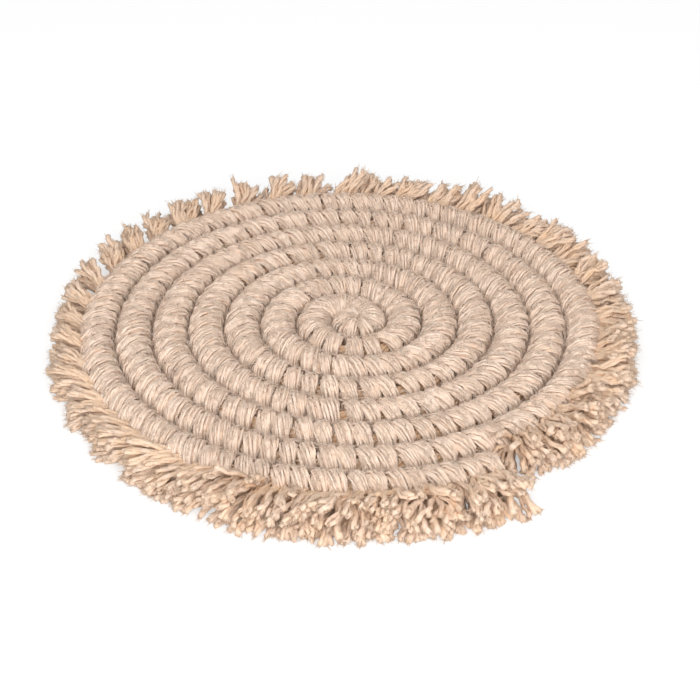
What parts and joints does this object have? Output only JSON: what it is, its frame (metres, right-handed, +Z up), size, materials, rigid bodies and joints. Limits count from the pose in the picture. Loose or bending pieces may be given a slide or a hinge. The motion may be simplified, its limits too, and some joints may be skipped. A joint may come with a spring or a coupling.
{
  "type": "drink coaster",
  "caption": "Round knotted cotton coaster: a coiled core cord covered in rows of slanted half hitches, with a combed-out fringe round the rim.",
  "frame": {"origin": "on the table, under the middle of the whole coaster with its fringe", "axes": "+Z up, square to the coil; -Y towards the viewer; the coil's outer end is at the front right"},
  "size_m": [0.1109, 0.115, 0.006],
  "materials": {
    "cord_cotton": "soft matte cotton",
    "core_cotton": "soft matte cotton"
  },
  "bodies": {
    "root": {"core_cord": "core_cotton", "working_cord_01": "cord_cotton", "working_cord_02": "cord_cotton", "working_cord_03": "cord_cotton", "working_cord_04": "cord_cotton", "working_cord_05": "cord_cotton", "working_cord_06": "cord_cotton", "working_cord_07": "cord_cotton", "working_cord_08": "cord_cotton", "working_cord_09": "cord_cotton", "working_cord_10": "cord_cotton", "working_cord_11": "cord_cotton", "working_cord_12": "cord_cotton", "working_cord_13": "cord_cotton", "working_cord_14": "cord_cotton", "working_cord_15": "cord_cotton", "working_cord_16": "cord_cotton", "working_cord_17": "cord_cotton", "working_cord_18": "cord_cotton", "working_cord_19": "cord_cotton", "working_cord_20": "cord_cotton", "working_cord_21": "cord_cotton", "working_cord_22": "cord_cotton"}
  },
  "joints": []
}
